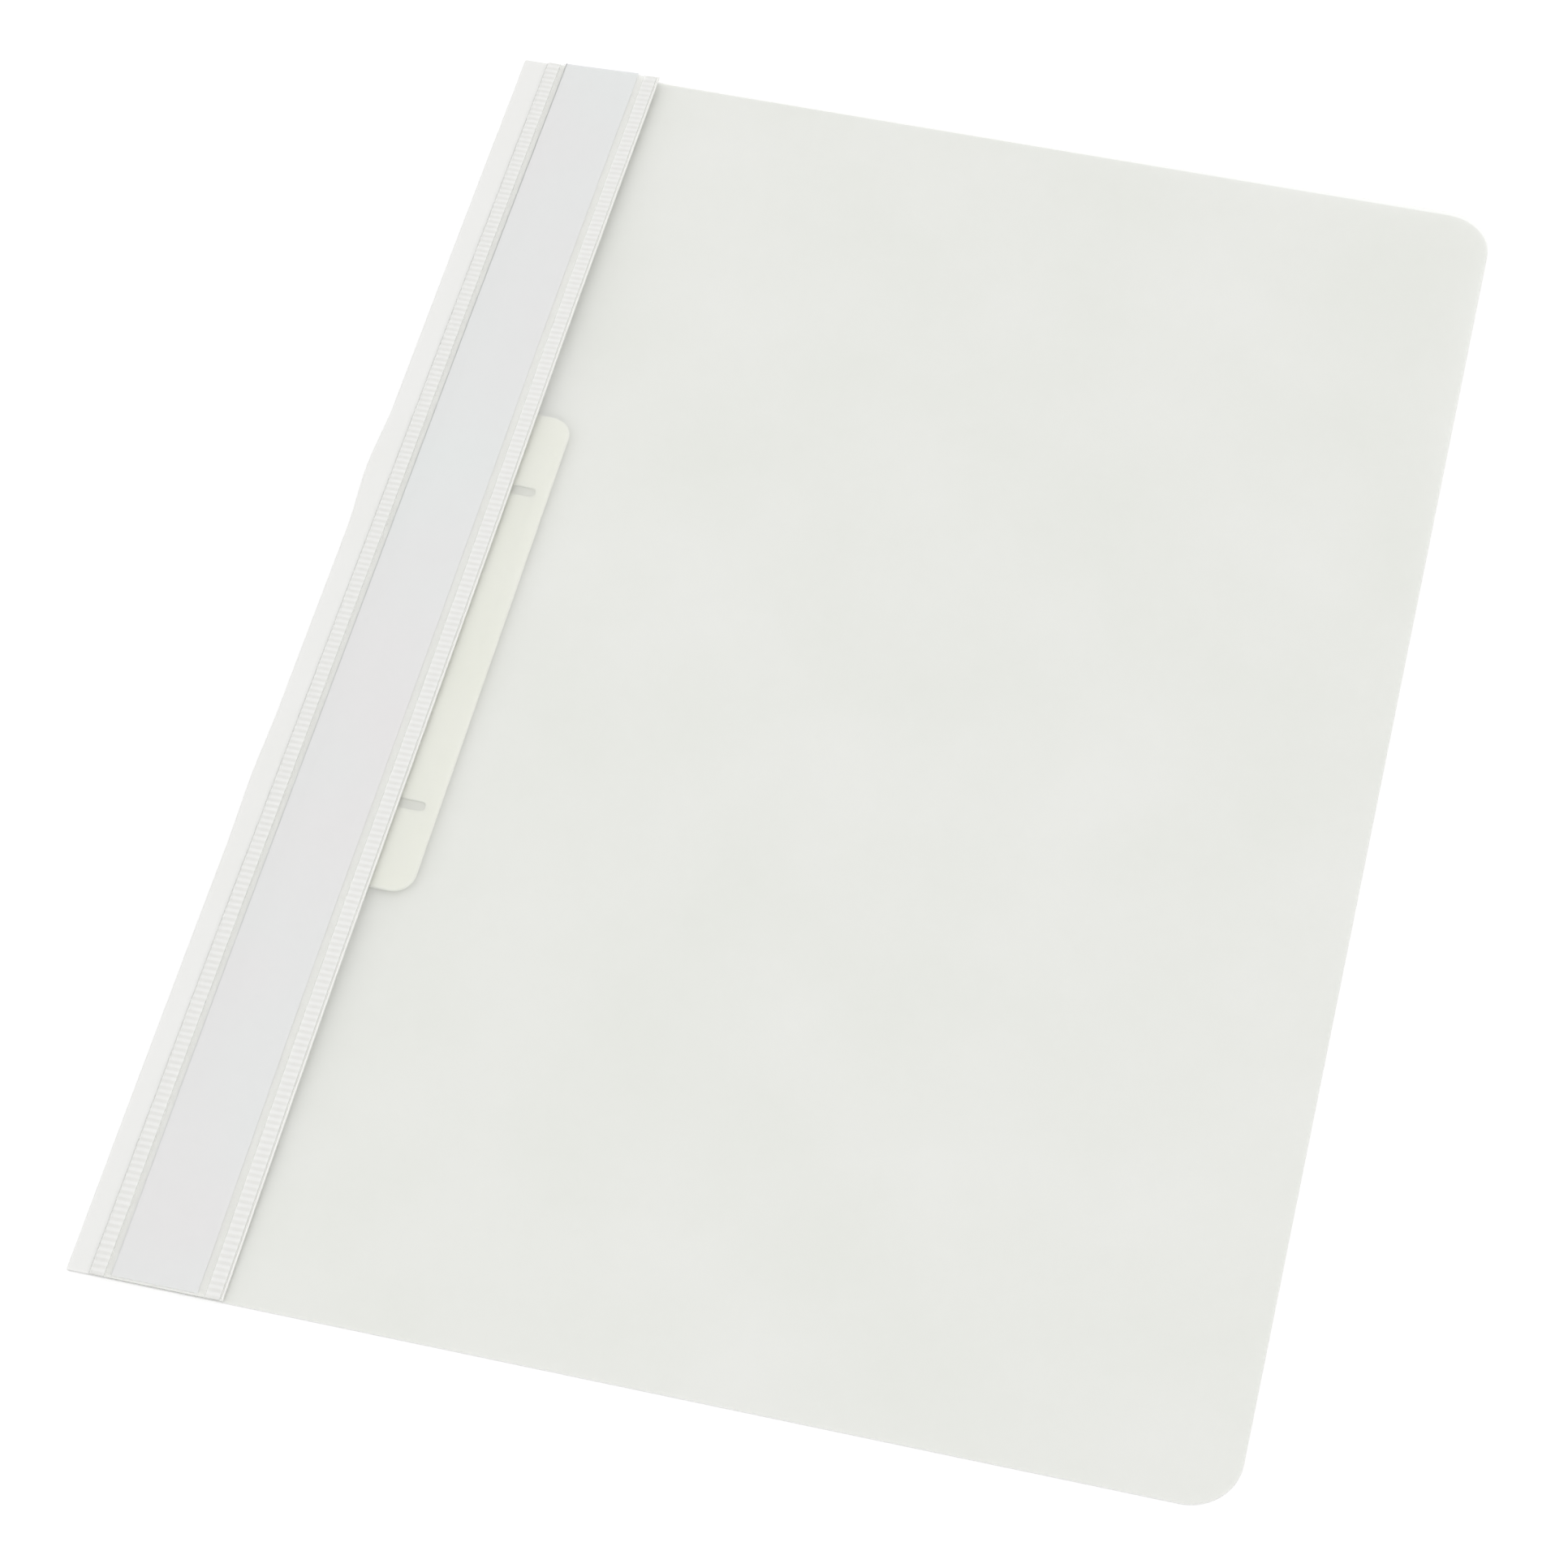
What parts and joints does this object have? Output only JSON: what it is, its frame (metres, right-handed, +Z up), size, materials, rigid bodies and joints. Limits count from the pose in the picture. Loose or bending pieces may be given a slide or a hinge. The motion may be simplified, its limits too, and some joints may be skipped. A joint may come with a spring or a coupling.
{
  "type": "fastener folder",
  "caption": "A4 flat file with a clear front leaf, white back leaf, label pocket along the spine and a two-prong steel fastener under a plastic bar.",
  "frame": {"origin": "middle of the back cover's underside", "axes": "+X from the spine to the free edge, +Y up the spine, +Z up through the closed folder"},
  "size_m": [0.2208, 0.3105, 0.0039],
  "materials": {
    "white_film": "finely matted polypropylene film",
    "clear_film": "clear, finely matted polypropylene film",
    "window_film": "clear smooth polypropylene film",
    "cream_plastic": "cream polypropylene strip",
    "steel": "tinned sheet steel",
    "paper": "uncoated white label paper"
  },
  "bodies": {
    "back_leaf": {"back_cover": "white_film", "filing_strip": "white_film", "tongue_strip": "steel", "cover_bar": "cream_plastic"},
    "front_leaf": {"front_cover": "clear_film", "label_pocket_base": "white_film", "label_pocket_window": "window_film", "label_insert": "paper"}
  },
  "joints": [
    {"name": "cover_hinge", "type": "hinge", "parent": "back_leaf", "child": "front_leaf", "pos_m": [-0.1054, 0, 0.0023], "axis": [0, -1, 0], "range_deg": [0, 180]}
  ]
}
